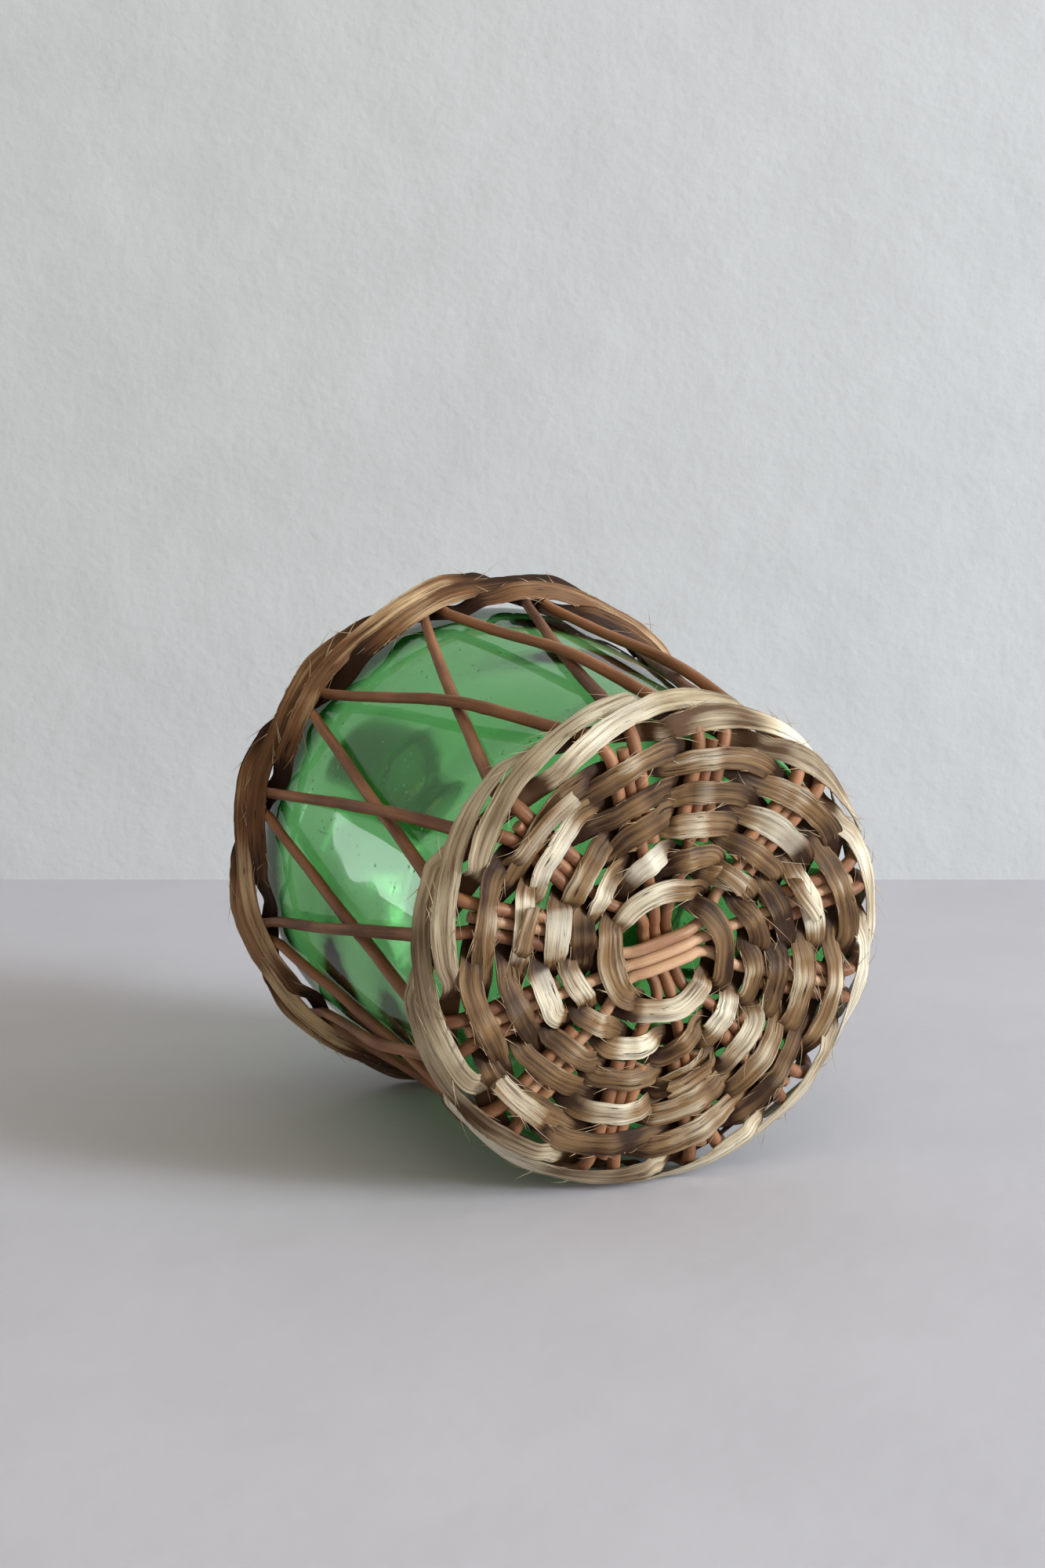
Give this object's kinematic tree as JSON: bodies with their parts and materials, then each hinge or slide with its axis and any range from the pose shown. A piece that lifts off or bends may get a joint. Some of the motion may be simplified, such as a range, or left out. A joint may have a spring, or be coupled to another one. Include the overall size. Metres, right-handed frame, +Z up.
{
  "type": "demijohn in a willow basket",
  "caption": "Round-shouldered green glass demijohn lying on its side in an open woven willow basket, with a cork that pulls out of its neck.",
  "frame": {"origin": "bottom centre of the whole object's box as it lies on its side on the floor", "axes": "+Z up from the floor, +Y from the woven base to the neck (the bottle's axis rises 5.46 degrees towards +Y), +X to the right when looking along +Y"},
  "size_m": [0.2196, 0.3196, 0.2197],
  "materials": {
    "green_glass": "clear blown glass, glossy, with faint waves",
    "cork": "dry cork, matt, pitted",
    "brown_willow": "round willow rod with its bark on, dry, half matt",
    "peeled_willow": "round willow rod without bark, pale reddish, half matt",
    "straw_strip": "flat split strip, straw coloured, satin with fine grain",
    "russet_strip": "flat split strip, red-brown, satin with fine grain"
  },
  "bodies": {
    "demijohn": {"glass_bottle": "green_glass", "base_stick_outer_1": "peeled_willow", "base_stick_outer_2": "peeled_willow", "base_stick_outer_3": "peeled_willow", "base_stick_inner_1": "brown_willow", "base_stick_inner_2": "brown_willow", "base_stick_inner_3": "brown_willow", "side_stake_forward_01": "brown_willow", "side_stake_backward_01": "brown_willow", "side_stake_forward_02": "brown_willow", "side_stake_backward_02": "brown_willow", "side_stake_forward_03": "brown_willow", "side_stake_backward_03": "brown_willow", "side_stake_forward_04": "brown_willow", "side_stake_backward_04": "brown_willow", "side_stake_forward_05": "brown_willow", "side_stake_backward_05": "brown_willow", "side_stake_forward_06": "brown_willow", "side_stake_backward_06": "brown_willow", "side_stake_forward_07": "brown_willow", "side_stake_backward_07": "brown_willow", "side_stake_forward_08": "brown_willow", "side_stake_backward_08": "brown_willow", "side_stake_forward_09": "brown_willow", "side_stake_backward_09": "brown_willow", "side_stake_forward_10": "brown_willow", "side_stake_backward_10": "brown_willow", "side_stake_forward_11": "brown_willow", "side_stake_backward_11": "brown_willow", "side_stake_forward_12": "brown_willow", "side_stake_backward_12": "brown_willow", "base_round_1_strip_a": "straw_strip", "base_round_1_strip_b": "straw_strip", "base_round_2_strip_a": "straw_strip", "base_round_2_strip_b": "straw_strip", "base_round_3_strip_a": "straw_strip", "base_round_3_strip_b": "straw_strip", "base_round_4_strip_a": "straw_strip", "base_round_4_strip_b": "straw_strip", "base_round_5_strip_a": "straw_strip", "base_round_5_strip_b": "straw_strip", "rim_strip_1": "straw_strip", "rim_strip_2": "straw_strip", "rim_strip_3": "straw_strip", "band_strip_1": "russet_strip", "band_strip_2": "russet_strip", "band_strip_3": "russet_strip"},
    "cork": {"cork_stopper": "cork"}
  },
  "joints": [
    {"name": "cork_pull", "type": "slide", "parent": "demijohn", "child": "cork", "axis": [0, 0.9955, 0.0951], "range_m": [0, 0.045]}
  ]
}
